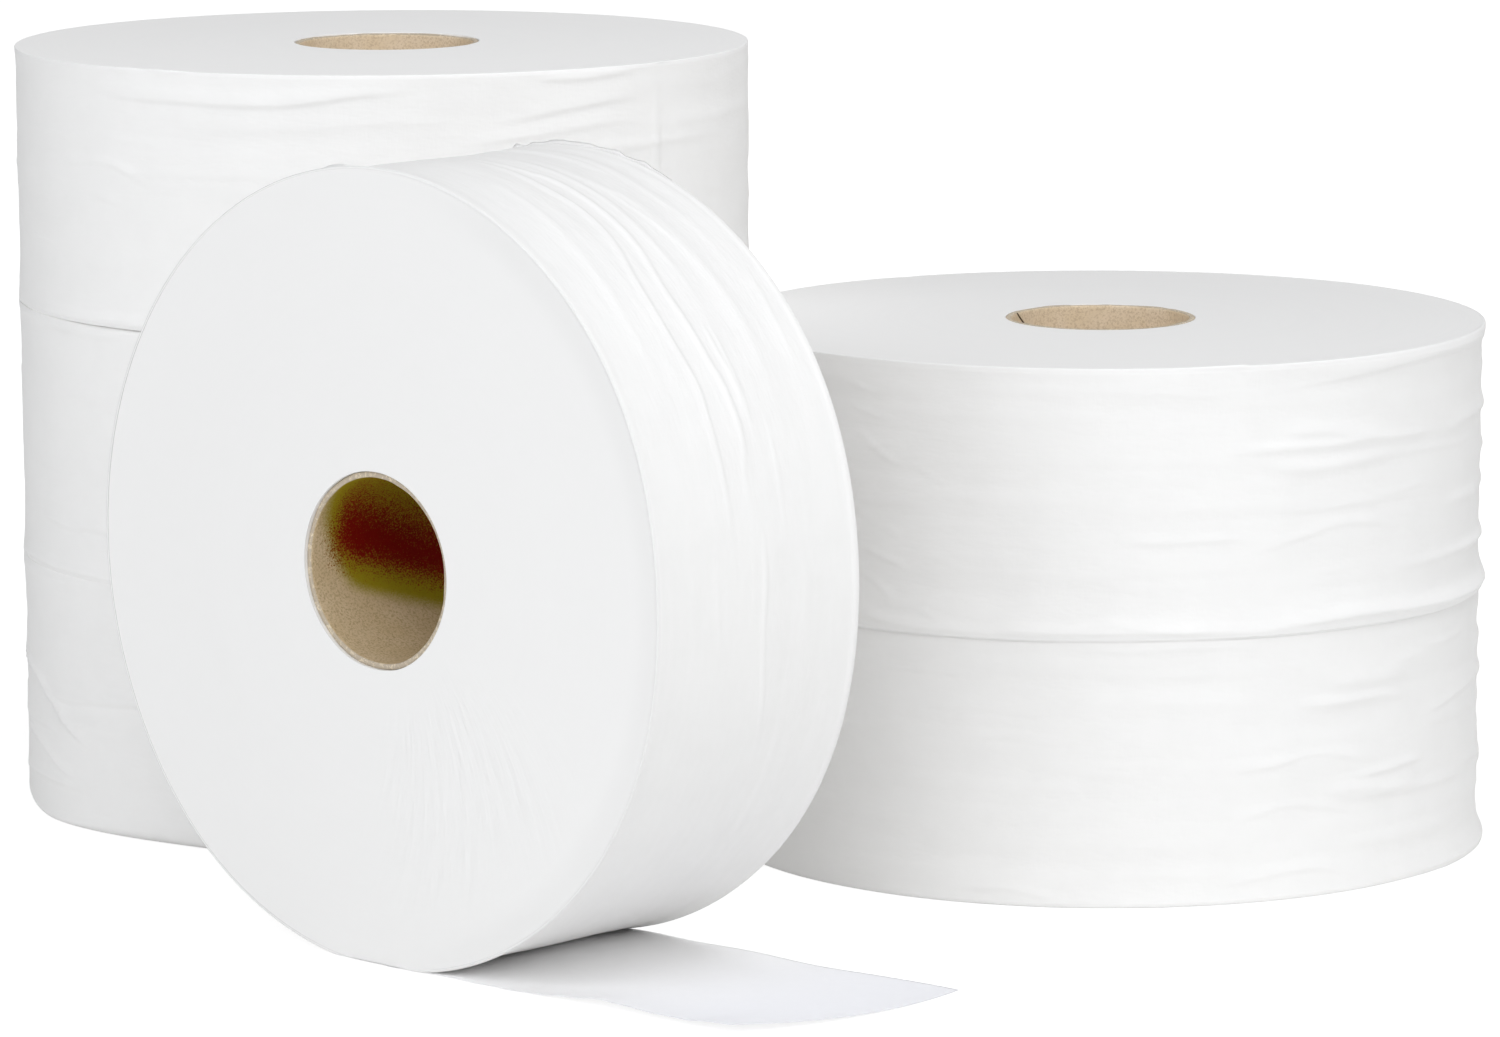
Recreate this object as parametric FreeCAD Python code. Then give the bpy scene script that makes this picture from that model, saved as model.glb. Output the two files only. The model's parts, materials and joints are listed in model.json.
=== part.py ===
import FreeCAD, Part
import math
import os

# A pack of six jumbo toilet rolls: a stack of three on the left, a stack of two on the right,
# and one roll in front that stands on its rim, with a loose tail of paper on the floor.
# +Z is up, +Y points away from the viewer and +X to the right. Lengths are millimetres,
# angles are degrees. The origin is the middle of the pack's footprint, on the floor.

Vector = FreeCAD.Vector
UP = Vector(0, 0, 1)

# Paper web and cardboard core, the same in every roll
WEB_WIDTH = 92.0
CORE_BORE = 62.0
CORE_WALL = 1.9
CORE_RECESS = 0.8
WINDING_CLEARANCE = 0.15

# Winding: soft rims, turn rings on the end faces, creases round the side
RIM_RADIUS = 3.0
RIM_BEVELS = 3
RING_PITCH = 19.0
RING_WIDTH = 1.6
RING_DEPTH = 0.35
CREASE_DEPTH = 0.6
CREASE_DROP = 0.8
CREASE_RUN = 4.5

# Loose end of the last turn, glued down on the side of each lying roll
LAP_STEP = 0.4
LAP_RUN = 11.0
CUTTER_MARGIN = 5.0

# Left stack: each roll's name, the bearing of its loose end, and its creases as shares of
# the web's width above the roll's lower face
LEFT_DIAMETER = 266.0
LEFT_ROLLS = (
    ("bottom", 100.0, (0.24, 0.47, 0.78)),
    ("middle", 168.0, (0.18, 0.52, 0.86)),
    ("top", -40.0, (0.30, 0.72, 0.83)),
)

# Right stack
RIGHT_DIAMETER = 270.0
RIGHT_ROLLS = (
    ("bottom", 62.0, (0.20, 0.55, 0.82)),
    ("top", 118.0, (0.16, 0.34, 0.63)),
)

# Front roll, its flat spot where it stands, and its creases
FRONT_DIAMETER = 262.0
FRONT_FLAT = 0.4
FRONT_CREASES = (0.24, 0.42, 0.59, 0.77)

# Loose tail of the front roll's web, from under the roll to its cut end
TAIL_START = 4.0
TAIL_LENGTH = 168.0
TAIL_THICKNESS = 0.3
TAIL_FLOOR_CLEARANCE = 0.1
TAIL_DRIFT = 6.0
TAIL_LIFT = 4.5
TAIL_LIFT_START = 30.0
TAIL_END_BOW = 13.0
TAIL_END_PEAK = 0.35
TAIL_STEPS_ALONG = 8
TAIL_STEPS_ACROSS = 3

# Layout on the floor
STACK_CLEARANCE = 0.5
STACK_BEARING = -17.8
FRONT_CLEARANCE = 11.4
FRONT_BEARING = -98.5
FRONT_TURN = 43.8

# Sizes that follow from these
CORE_OUTER_RADIUS = CORE_BORE / 2 + CORE_WALL
PAPER_BORE_RADIUS = CORE_OUTER_RADIUS + WINDING_CLEARANCE
FRONT_RADIUS = FRONT_DIAMETER / 2
FRONT_AXIS_HEIGHT = FRONT_RADIUS - FRONT_FLAT


def polar(radius, bearing):
    """A point on the floor at a distance and bearing from the left stack's axis."""
    angle = math.radians(bearing)
    return Vector(radius * math.cos(angle), radius * math.sin(angle), 0)


def face_line(outer, level, inward):
    """Points across an end face, from its bore to its rim, with a groove for each turn ring."""
    points = [Vector(PAPER_BORE_RADIUS, 0, level)]
    rings = int((outer - PAPER_BORE_RADIUS) / RING_PITCH)
    spacing = (outer - PAPER_BORE_RADIUS) / (rings + 1)
    for ring in range(1, rings + 1):
        middle = PAPER_BORE_RADIUS + ring * spacing
        points.append(Vector(middle - RING_WIDTH / 2, 0, level))
        points.append(Vector(middle, 0, level + inward * RING_DEPTH))
        points.append(Vector(middle + RING_WIDTH / 2, 0, level))
    points.append(Vector(outer, 0, level))
    return points


def side_line(radius, creases):
    """Points up the side between the rims, with each crease stepping in and easing out."""
    points = [Vector(radius, 0, RIM_RADIUS)]
    for share in creases:
        foot = share * WEB_WIDTH
        points.append(Vector(radius, 0, foot))
        points.append(Vector(radius - CREASE_DEPTH, 0, foot + CREASE_DROP))
        points.append(Vector(radius, 0, foot + CREASE_DROP + CREASE_RUN))
    points.append(Vector(radius, 0, WEB_WIDTH - RIM_RADIUS))
    return points


def rim_line(radius, level, inward):
    """Points round a soft rim between an end face and the side, in a few bevels."""
    points = []
    for bevel in range(1, RIM_BEVELS):
        angle = math.pi / 2 * bevel / RIM_BEVELS
        outward = radius - RIM_RADIUS * (1 - math.sin(angle))
        height = level + inward * RIM_RADIUS * (1 - math.cos(angle))
        points.append(Vector(outward, 0, height))
    return points


def wound_paper(diameter, creases):
    """One roll's paper, all its turns as one body, lying flat on the floor."""
    radius = diameter / 2
    lower = face_line(radius - RIM_RADIUS, 0, 1) + rim_line(radius, 0, 1)
    upper = face_line(radius - RIM_RADIUS, WEB_WIDTH, -1) + rim_line(radius, WEB_WIDTH, -1)
    outline = lower + side_line(radius, creases) + upper[::-1]
    return Part.Face(Part.makePolygon(outline + outline[:1])).revolve(Vector(0, 0, 0), UP, 360)


def core_tube():
    """The cardboard core, its two ends just inside the roll's end faces."""
    length = WEB_WIDTH - 2 * CORE_RECESS
    foot = Vector(0, 0, CORE_RECESS)
    outside = Part.makeCylinder(CORE_OUTER_RADIUS, length, foot)
    bore = Part.makeCylinder(CORE_BORE / 2, length, foot)
    return outside.cut(bore)


def loose_end(diameter, bearing):
    """The wedge that is missing beside the cut edge of the last turn."""
    radius = diameter / 2
    beyond = radius + CUTTER_MARGIN
    sweep = math.degrees(LAP_RUN / radius)
    outline = Part.makePolygon([
        polar(beyond, bearing),
        polar(radius - LAP_STEP, bearing),
        polar(radius, bearing + sweep),
        polar(beyond, bearing + sweep),
        polar(beyond, bearing),
    ])
    return Part.Face(outline).extrude(UP * WEB_WIDTH)


def stack(side, diameter, rolls, axis):
    """Named solids of one stack, from the roll on the floor up."""
    solids = {}
    for level, (place, bearing, creases) in enumerate(rolls):
        position = axis + UP * (level * WEB_WIDTH)
        paper = wound_paper(diameter, creases).cut(loose_end(diameter, bearing))
        paper.translate(position)
        core = core_tube()
        core.translate(position)
        solids[f"{side}_stack_{place}_paper"] = paper
        solids[f"{side}_stack_{place}_core"] = core
    return solids


def tail_point(along, across):
    """A point of the tail's underside. Along runs 0 to 1 from under the roll to the cut end,
    across runs 0 to 1 from the far edge to the near one, which lifts off the floor."""
    bow = (across - TAIL_END_PEAK) / (1 - TAIL_END_PEAK)
    end = TAIL_LENGTH - TAIL_END_BOW * bow ** 2
    x = TAIL_START + along * (end - TAIL_START)
    y = WEB_WIDTH * (0.5 - across) + TAIL_DRIFT * along
    rise = max(0.0, x - TAIL_LIFT_START) / (TAIL_LENGTH - TAIL_LIFT_START)
    lift = TAIL_LIFT * math.sin(rise * math.pi / 2) ** 2 * across ** 2
    return Vector(x, y, TAIL_FLOOR_CLEARANCE + lift)


def tail_sheet():
    """The loose tail: a thin sheet that waves along the floor."""
    rows = []
    for i in range(TAIL_STEPS_ALONG + 1):
        along = i / TAIL_STEPS_ALONG
        rows.append([tail_point(along, j / TAIL_STEPS_ACROSS) for j in range(TAIL_STEPS_ACROSS + 1)])
    surface = Part.BSplineSurface()
    surface.interpolate(rows)
    return surface.toShape().extrude(UP * TAIL_THICKNESS)


def stand_up(solid):
    """Turn a lying roll onto its rim, its axis along Y and halfway along its width at the origin."""
    solid.translate(Vector(0, 0, -WEB_WIDTH / 2))
    solid.rotate(Vector(0, 0, 0), Vector(1, 0, 0), 90)
    solid.translate(UP * FRONT_AXIS_HEIGHT)
    return solid


def front_roll(place):
    """Named solids of the standing roll: paper with its flat spot and tail, and core."""
    below = Part.makeBox(FRONT_DIAMETER, WEB_WIDTH, FRONT_DIAMETER)
    below.translate(Vector(-FRONT_RADIUS, -WEB_WIDTH / 2, -FRONT_DIAMETER))
    paper = stand_up(wound_paper(FRONT_DIAMETER, FRONT_CREASES)).cut(below).fuse(tail_sheet())
    solids = {"front_roll_paper": paper, "front_roll_core": stand_up(core_tube())}
    for solid in solids.values():
        solid.rotate(Vector(0, 0, 0), UP, -FRONT_TURN)
        solid.translate(place)
    return solids


def right_stack_axis():
    """Foot of the right stack's axis, with the two stacks side by side."""
    return polar((LEFT_DIAMETER + RIGHT_DIAMETER) / 2 + STACK_CLEARANCE, STACK_BEARING)


def front_roll_place():
    """Point on the floor under the middle of the front roll, set from its rear left rim."""
    turn = math.radians(FRONT_TURN)
    rightward = Vector(math.cos(turn), -math.sin(turn), 0)
    forward = Vector(-math.sin(turn), -math.cos(turn), 0)
    rim = polar(LEFT_DIAMETER / 2 + FRONT_CLEARANCE, FRONT_BEARING)
    return rim + rightward * FRONT_RADIUS + forward * (WEB_WIDTH / 2)


def footprint_middle(solids):
    """Middle of the pack's footprint on the floor."""
    box = Part.makeCompound(list(solids.values())).optimalBoundingBox(False)
    return Vector(box.Center.x, box.Center.y, 0)


def pack():
    """Every solid of the pack by name, with the origin at the middle of the footprint."""
    solids = stack("left", LEFT_DIAMETER, LEFT_ROLLS, Vector(0, 0, 0))
    solids.update(stack("right", RIGHT_DIAMETER, RIGHT_ROLLS, right_stack_axis()))
    solids.update(front_roll(front_roll_place()))
    middle = footprint_middle(solids)
    for solid in solids.values():
        solid.translate(-middle)
    return solids


os.makedirs("parts", exist_ok=True)
for name, solid in pack().items():
    solid.exportStep(os.path.join("parts", name + ".step"))
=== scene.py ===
import bpy
import json
import math
import numpy as np
from mathutils import Matrix, Vector


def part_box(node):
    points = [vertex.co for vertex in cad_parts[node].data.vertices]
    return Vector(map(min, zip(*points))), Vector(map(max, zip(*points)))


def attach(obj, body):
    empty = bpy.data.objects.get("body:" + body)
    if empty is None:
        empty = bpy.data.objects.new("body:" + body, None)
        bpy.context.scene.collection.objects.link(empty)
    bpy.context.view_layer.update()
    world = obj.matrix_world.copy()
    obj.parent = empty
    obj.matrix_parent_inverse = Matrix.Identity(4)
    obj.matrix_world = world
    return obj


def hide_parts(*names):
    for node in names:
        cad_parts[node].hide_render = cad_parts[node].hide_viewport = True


# A pack of six jumbo toilet rolls on a white studio floor: a stack of three, a stack of two,
# and a roll on its rim with a loose tail of paper.
# Places are metres in the model's frame. The relief of the paper is in millimetres and degrees
# on each roll's own skin: degrees round its axis, and millimetres up its side from its lower
# face, or from its rear face on the front roll. Past the web's width they run in over the rim.

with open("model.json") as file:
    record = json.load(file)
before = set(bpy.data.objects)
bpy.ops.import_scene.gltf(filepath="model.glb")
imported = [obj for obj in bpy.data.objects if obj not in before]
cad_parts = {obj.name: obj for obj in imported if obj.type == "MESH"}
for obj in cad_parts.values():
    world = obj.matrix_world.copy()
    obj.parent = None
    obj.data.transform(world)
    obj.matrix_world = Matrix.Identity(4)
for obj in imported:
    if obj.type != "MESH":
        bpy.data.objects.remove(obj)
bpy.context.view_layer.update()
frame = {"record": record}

MM = 0.001
MOUNTS = {mount["name"]: mount for mount in frame["record"]["mounts"]}

# Sizes of the rolls, in millimetres
CORE_WALL = 1.9
WINDING_CLEARANCE = 0.15
RESTING_HEIGHT = 0.3

# How the wound paper's mesh is divided near its edges: widths in millimetres, and steps of a rim
RIM_RING = 0.6
RIM_STEPS = 6
EDGE_STEP = 0.25

# Relief of the side: reaches and depths in millimetres, and cells of noise round and up the roll
SLACK_REACH = 16.0
LIP_START = 0.5
LIP_MEAN = 0.75
LIP_CELLS = (13, 1)
WAVE_DEPTH = 0.25
RELIEF_CELLS = ((9, 3), (13, 12), (26, 27))

# Relief of the end faces, in millimetres, and cells of noise round and across them
FACE_RECESS = 0.04
FACE_DIP = 0.12
FACE_BAND = 12.0
FACE_UNEVENNESS = 0.10
FACE_CELLS = (7, 5)

# How the relief and the outline are laid over a roll, in millimetres, degrees and web widths
RELIEF_END = 1.5
BORE_LEVEL = 2.0
TOUCH_SPAN = 24.0
TOUCH_RISE = 3.0
TOUCH_INSET = 0.05
OUTLINE_REACH = 40.0
BORE_SHAPE_END = 60.0
BORE_SHAPE_RUN = 20.0
CROWN_BELOW = 10.0
CROWN_RUN = 50.0

# Creases: reach in widths, tapered share, and the stray ones' wander and share of width below
CREASE_REACH = 3
CREASE_TAPER = 0.3
STRAY_WANDER = 0.9
LOWER_WIDTHS = (0.5, 1.0)

# Loose end of the last turn on each lying roll, in millimetres
LAP_STEP = 0.35
LAP_RUN = 11.0

# Core tube: its cut ends in millimetres, and noise as pairs of depth and cells round the roll
CORE_END_BAND = 6.0
CORE_END_INSET = 0.15
CORE_EDGE = 0.25
CORE_EDGE_DROP = 0.3
CORE_LIP_DIP = 0.05
CORE_INNER_DROP = 1.2
CORE_OUTER_DROP = 2.0
CUT_NOISE = ((0.18, 21), (0.10, 60))
WALL_NOISE = ((0.04, 80),)
BORE_NOISE = ((0.3, 11),)
BORE_SEED = 5

# Loose tail of the front roll, in millimetres from under the roll
TAIL_START = 4.0
TAIL_LENGTH = 168.0
TAIL_THICKNESS = 0.25
TAIL_CLEARANCE = 0.1
TAIL_DRIFT = 6.0
TAIL_END_BOW = 13.0
TAIL_END_PEAK = 0.35

# The tail's heights over the floor, as distance from under the roll and height
TAIL_PEEL = [(4, 0), (12, 0.3), (20, 1.4), (28, 2.9), (35, 3.6), (43, 3.3), (54, 2.0), (68, 0.8), (84, 0.2),
             (96, 0), (170, 0)]
TAIL_NEAR_EDGE = [(4, 0), (20, 0), (36, 0), (60, 0.1), (85, 1.1), (98, 2.2), (118, 1.8), (135, 2.2),
                  (149, 3.4), (170, 4.0)]
PEEL_AT_EDGES = 0.15
PEEL_ROUNDNESS = 0.8

# Small waves of the tail: heights in millimetres, rates in radians, spans as shares of the tail
TAIL_WAVE = 0.5
TAIL_WAVE_RATE = 9.5
TAIL_WAVE_SLANT = 2.0
TAIL_WAVE_DROP = 0.8
NEAR_RIPPLE = 0.2
NEAR_RIPPLE_RATE = 31.0
NEAR_RIPPLE_PHASE = 1.3
FAR_RIPPLE = 0.3
FAR_RIPPLE_RATE = 17.0
RIPPLE_BAND = 0.2
CALM_START = 0.3
CORNER_LENGTH = 0.2
CORNER_WIDTH = 0.35
CORNER_PULL = 3.0

# Torn paper over the front roll's rear rim: degrees, millimetres, shares, and noise as above
TORN_FROM = 70.0
TORN_TO = 104.0
TORN_HEIGHT = 2.1
TORN_ROOT = -2.0
TORN_MIDDLE = 0.4
TORN_MEAN = 0.62
TORN_NOISE = ((0.25, 70), (0.30, 190))
TORN_RISE = 0.25
TORN_FALL = 0.06


class Roll:
    """One roll's place, its three directions and its main sizes, read from the frame."""

    def __init__(self, name, seed, ring, side_rows, face_rows, lap=None, touching=None, seam_turn=None,
                 core_lift=0.0, squash=0.15, widened=0.0, uneven_bore=False):
        self.name = name
        self.paper_node = f"{name}_paper"
        self.core_node = f"{name}_core"
        self.rng = np.random.default_rng(seed)
        self.ring = ring
        self.side_rows = side_rows
        self.face_rows = face_rows
        self.lap = lap
        self.touching = touching
        self.seam_turn = seam_turn
        self.core_lift = core_lift
        self.squash = squash
        self.widened = widened
        self.uneven_bore = uneven_bore
        mount = MOUNTS[f"{name}_bore"]
        self.centre = Vector(mount["pos_m"])
        self.axis = Vector(mount["axis"]).normalized()
        self.lying = abs(self.axis.z) > 0.5
        self.right = Vector((1, 0, 0)) if self.lying else self.axis.cross(Vector((0, 0, -1)))
        self.up = self.axis.cross(self.right)
        low, high = (Vector(corner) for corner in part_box(self.paper_node))
        web_low, web_high = (Vector(corner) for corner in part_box("left_stack_top_paper"))
        self.width = (web_high.z - web_low.z) / MM
        self.radius = ((high.x - low.x) / 2 if self.lying else high.z - self.centre.z) / MM
        self.bore = mount["dims"]["r_mm"]
        self.core_length = mount["dims"]["length_mm"]
        self.core_radius = self.bore + CORE_WALL
        self.paper_bore = self.core_radius + WINDING_CLEARANCE

    def place(self, x, y, z):
        """Frame coordinates of points given in millimetres along the roll's own directions."""
        basis = np.array([self.right, self.up, self.axis])
        return np.stack([x, y, z], axis=-1) * MM @ basis + np.array(self.centre)


# Relief of the paper, on a roll's skin

def fade(value):
    """Smooth step from 0 to 1."""
    value = np.clip(value, 0.0, 1.0)
    return value * value * (3 - 2 * value)


def turn_from(theta, bearing):
    """Degrees round the roll from a bearing, from -180 to 180."""
    return (theta - bearing + 180.0) % 360.0 - 180.0


def lattice_noise(rng, columns, rows, theta, share):
    """Smooth noise from -1 to 1: columns cells round the roll, rows cells across share 0 to 1."""
    values = rng.uniform(-1, 1, (rows + 2, columns))
    x = (theta / 360.0 % 1.0) * columns
    y = np.clip(share, 0, 1) * rows
    i = np.floor(x).astype(int)
    j = np.floor(y).astype(int)
    fx = fade(x - i)
    fy = fade(y - j)
    i0 = i % columns
    i1 = (i + 1) % columns
    low = values[j, i0] * (1 - fx) + values[j, i1] * fx
    high = values[j + 1, i0] * (1 - fx) + values[j + 1, i1] * fx
    return low * (1 - fy) + high * fy


def uneven_line(rng, layers, theta):
    """Unevenness along a line round the roll, from layers of noise given as depth and cells."""
    return sum(depth * lattice_noise(rng, cells, 1, theta, 0 * theta) for depth, cells in layers)


def smooth_chain(points, steps=5):
    """A smooth line through the given points."""
    points = np.array(points, dtype=float)
    padded = np.vstack([2 * points[0] - points[1], points, 2 * points[-1] - points[-2]])
    line = []
    for k in range(len(points) - 1):
        a, b, c, d = padded[k:k + 4]
        for t in np.linspace(0, 1, steps, endpoint=False):
            line.append(0.5 * (2 * b + (c - a) * t + (2 * a - 5 * b + 4 * c - d) * t ** 2
                               + (3 * b - a - 3 * c + d) * t ** 3))
    line.append(points[-1])
    return np.array(line)


def crease_relief(theta, level, radius, crease):
    """Relief of one crease: a chain of (degrees, millimetres), its lift, and how far it reaches
    below and above the chain."""
    points, lift, below, above = crease
    line = smooth_chain(points)
    middle = (line[:, 0].min() + line[:, 0].max()) / 2
    s = radius * np.radians(turn_from(theta, middle))
    line_s = radius * np.radians(line[:, 0] - middle)
    line_h = line[:, 1]
    reach = CREASE_REACH * max(below, above)
    near = (s > line_s.min() - reach) & (s < line_s.max() + reach)
    near &= (level > line_h.min() - reach) & (level < line_h.max() + reach)
    relief = np.zeros_like(s)
    if not near.any():
        return relief
    s = s[near]
    h = level[near]
    lengths = np.hypot(np.diff(line_s), np.diff(line_h))
    before = np.concatenate([[0], np.cumsum(lengths)])
    best = np.full(s.shape, np.inf)
    side = np.zeros(s.shape)
    progress = np.zeros(s.shape)
    for k, length in enumerate(lengths):
        ds = line_s[k + 1] - line_s[k]
        dh = line_h[k + 1] - line_h[k]
        t = np.clip(((s - line_s[k]) * ds + (h - line_h[k]) * dh) / length ** 2, 0, 1)
        off_s = s - line_s[k] - t * ds
        off_h = h - line_h[k] - t * dh
        distance = np.hypot(off_s, off_h)
        closer = distance < best
        best = np.where(closer, distance, best)
        side = np.where(closer, ds * off_h - dh * off_s, side)
        progress = np.where(closer, (before[k] + t * length) / before[-1], progress)
    taper = fade(progress / CREASE_TAPER) * fade((1 - progress) / CREASE_TAPER)
    width = np.where(side > 0, above, below)
    relief[near] = lift * taper * np.exp(-(best / width) ** 2)
    return relief


def stray_creases(rng, count, angles, levels, reach, slope, lift, width):
    """Creases scattered over part of a roll's side. Each value after the count is a range."""
    creases = []
    for _ in range(count):
        start = rng.uniform(*angles)
        level = rng.uniform(*levels)
        length = rng.uniform(*reach)
        climb = rng.uniform(*slope)
        wander = rng.uniform(-STRAY_WANDER, STRAY_WANDER, 4)
        points = [(start + length * k / 3, level + climb * length * k / 3 + wander[k]) for k in range(4)]
        size = rng.uniform(*width)
        creases.append((points, rng.uniform(*lift), size * rng.uniform(*LOWER_WIDTHS), size))
    return creases


def side_relief(roll, theta, level, look):
    """Relief of the side away from its creases: slack between the rims, lips where its edges flare
    out, long waves, folds and fine wrinkles, and the step at the web's loose end."""
    share = level / roll.width
    from_rim = np.minimum(level, roll.width - level)
    relief = -look["slack"] * fade(from_rim / SLACK_REACH)
    for from_end, (lip, reach) in zip((level, roll.width - level), look["lips"]):
        uneven = LIP_MEAN + look["uneven"] * lattice_noise(roll.rng, *LIP_CELLS, theta, 0 * share)
        relief = relief + lip * uneven * np.exp(-(np.maximum(from_end - LIP_START, 0) / reach) ** 2)
    for depth, cells in zip((WAVE_DEPTH, look["folds"], look["wrinkles"]), RELIEF_CELLS):
        relief = relief + depth * lattice_noise(roll.rng, *cells, theta, share)
    if roll.lap is not None:
        past = ((theta - roll.lap) % 360.0) * math.pi / 180 * roll.radius
        relief = relief - LAP_STEP * np.where(past < LAP_RUN, 1 - past / LAP_RUN, 0.0)
    return relief


def face_relief(roll, theta, distance):
    """Relief of an end face: a dip inside the rim and a slow unevenness."""
    slow = FACE_UNEVENNESS * lattice_noise(roll.rng, *FACE_CELLS, theta, distance / roll.radius)
    inside = fade((roll.radius - distance) / FACE_BAND)
    return -FACE_RECESS + (slow - FACE_DIP) * inside


# Meshes

def mesh_object(name, vertices, faces):
    """A smooth shaded object from arrays of points and faces."""
    mesh = bpy.data.meshes.new(name)
    mesh.from_pydata(vertices.tolist(), [], faces)
    mesh.polygons.foreach_set("use_smooth", [True] * len(mesh.polygons))
    mesh.validate()
    piece = bpy.data.objects.new(name, mesh)
    bpy.context.scene.collection.objects.link(piece)
    return piece


def ring_faces(rows, ring):
    """Quads between rows of points that each go right round; the last row joins the first."""
    faces = []
    for row in range(rows):
        here = row * ring
        above = (row + 1) % rows * ring
        for k in range(ring):
            after = (k + 1) % ring
            faces.append((here + k, here + after, above + after, above + k))
    return faces


def rim_radius(end, theta, look):
    """Radius of a rim all round the roll, larger where it has slumped or gapes."""
    radius = np.full(theta.shape, look["rims"][0 if end < 0 else 1])
    for side, bearing, span, most, steepness in look["slumps"]:
        if side == end:
            radius = radius + most * fade(steepness * (1 - np.abs(turn_from(theta, bearing)) / span))
    return radius


def end_rows(roll, end, rim):
    """Rows of an end face and its rim, in their order up the roll's skin. Each row is its distance
    from the axis, its height, its outward normal and its level."""
    half = roll.width / 2
    quarter = math.pi / 2
    flat = roll.radius - rim
    band = roll.radius - roll.paper_bore
    inner = np.linspace(0, 1, roll.face_rows[0 if end < 0 else 1] + 1)[1:-1]
    rows = []
    for share in (0.0, EDGE_STEP / band, *inner, 1 - RIM_RING / band, 1.0):
        distance = roll.paper_bore + share * (flat - roll.paper_bore)
        rows.append((distance, end * half, 0, end, -(flat - distance) - rim * quarter + rim))
    for bevel in np.linspace(0, 1, RIM_STEPS + 1)[1:-1]:
        out = math.sin(quarter * bevel)
        rise = math.cos(quarter * bevel)
        level = rim - rim * (quarter - quarter * bevel)
        rows.append((flat + rim * out, end * (half - rim * (1 - rise)), out, end * rise, level))
    if end > 0:
        rows = [(*row[:4], roll.width - row[4]) for row in rows[::-1]]
    return rows


def roll_rows(roll, theta, look):
    """Rows of the wound paper's section, from the lower bore edge over the skin to the upper one
    and back down the bore."""
    half = roll.width / 2
    lower = rim_radius(-1, theta, look)
    upper = rim_radius(1, theta, look)
    side = []
    for share in np.linspace(0, 1, roll.side_rows + 1):
        level = lower + share * (roll.width - lower - upper)
        side.append((roll.radius, level - half, 1, 0, level))
    bore = [(roll.paper_bore, end * (half - EDGE_STEP), -1, 0, BORE_LEVEL * roll.width) for end in (1, -1)]
    rows = end_rows(roll, -1, lower) + side + end_rows(roll, 1, upper) + bore
    return [np.array([row[k] + 0 * theta for row in rows]) for k in range(5)]


def wound_paper(roll, creases, look):
    """The roll's paper as one closed mesh, with its relief pressed into the skin."""
    angles = np.arange(roll.ring) * 360.0 / roll.ring
    distance, height, out, rise, level = roll_rows(roll, angles, look)
    theta = np.broadcast_to(angles, distance.shape)
    relief = side_relief(roll, theta, level, look) * np.maximum(out, 0) ** 2
    relief += face_relief(roll, theta, distance) * rise ** 2
    for crease in creases:
        relief += crease_relief(theta, level, roll.radius, crease)
    if roll.touching is not None:
        turn = np.abs(turn_from(theta, roll.touching))
        most = TOUCH_RISE * fade(turn / TOUCH_SPAN) - TOUCH_INSET
        relief = np.where(out > 0, np.minimum(relief, most), relief)
    relief = np.where(level < RELIEF_END * roll.width, relief, 0.0)
    relief = np.where(np.abs(rise) == 1, np.minimum(relief, -FACE_RECESS / 2), relief)
    outline = look["outline"](theta) * fade((distance - roll.paper_bore) / OUTLINE_REACH)
    distance = distance + relief * out + outline
    distance = distance + bore_shape(roll, theta) * fade((BORE_SHAPE_END - distance) / BORE_SHAPE_RUN)
    height = height + relief * rise + look["crown"] * fade((height + CROWN_BELOW) / CROWN_RUN)
    spin = np.radians(theta)
    points = roll.place(distance * np.cos(spin), distance * np.sin(spin), height)
    floor = 0.0 if roll.lying else RESTING_HEIGHT * MM
    points[..., 2] = np.maximum(points[..., 2], floor)
    faces = ring_faces(len(points), roll.ring)
    piece = mesh_object(f"{roll.name}_wound_paper", points.reshape(-1, 3), faces)
    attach(piece, "root")
    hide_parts(roll.paper_node)
    return piece


def bore_shape(roll, theta):
    """How far the core and the bore round it are out of round, in millimetres."""
    shape = roll.widened + roll.squash * np.cos(np.radians(2 * theta))
    if roll.uneven_bore:
        shape = shape + uneven_line(np.random.default_rng(BORE_SEED), BORE_NOISE, theta)
    return shape


def core_end(roll, end, angles):
    """Rows of one cut end of the core, from the outside of its wall to its bore."""
    cut = uneven_line(roll.rng, CUT_NOISE, angles)
    lip = [(roll.core_radius, CORE_OUTER_DROP), (roll.core_radius, CORE_EDGE_DROP),
           (roll.core_radius - CORE_EDGE, 0.0), (roll.core_radius - CORE_WALL / 2, CORE_LIP_DIP),
           (roll.bore + CORE_EDGE, 0.0), (roll.bore, CORE_EDGE_DROP), (roll.bore, CORE_INNER_DROP)]
    rows = []
    for radius, drop in lip:
        distance = radius + uneven_line(roll.rng, WALL_NOISE, angles)
        level = end * (roll.core_length / 2 - drop - CORE_END_INSET)
        level = level + (cut if drop < CORE_OUTER_DROP else 0 * cut)
        rows.append((distance, level + (roll.core_lift if end > 0 else 0.0)))
    return rows


def core_tube(roll):
    """The cardboard core: a smooth wall, cut a little unevenly at its ends."""
    ring = 160
    angles = np.arange(ring) * 360.0 / ring
    inner = roll.core_length / 2 - CORE_END_BAND
    lower = core_end(roll, -1, angles)
    upper = core_end(roll, 1, angles)
    bore = [(roll.bore, level + 0 * angles) for level in np.linspace(-inner, inner, 14)]
    section = lower + bore + upper[::-1]
    spin = np.radians(angles)
    points = []
    for distance, height in section:
        distance = distance + bore_shape(roll, angles)
        points.append(roll.place(distance * np.cos(spin), distance * np.sin(spin), height))
    vertices = np.array(points).reshape(-1, 3)
    piece = mesh_object(f"{roll.name}_card_core", vertices, ring_faces(len(section), ring))
    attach(piece, "root")
    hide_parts(roll.core_node)
    return piece


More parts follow.
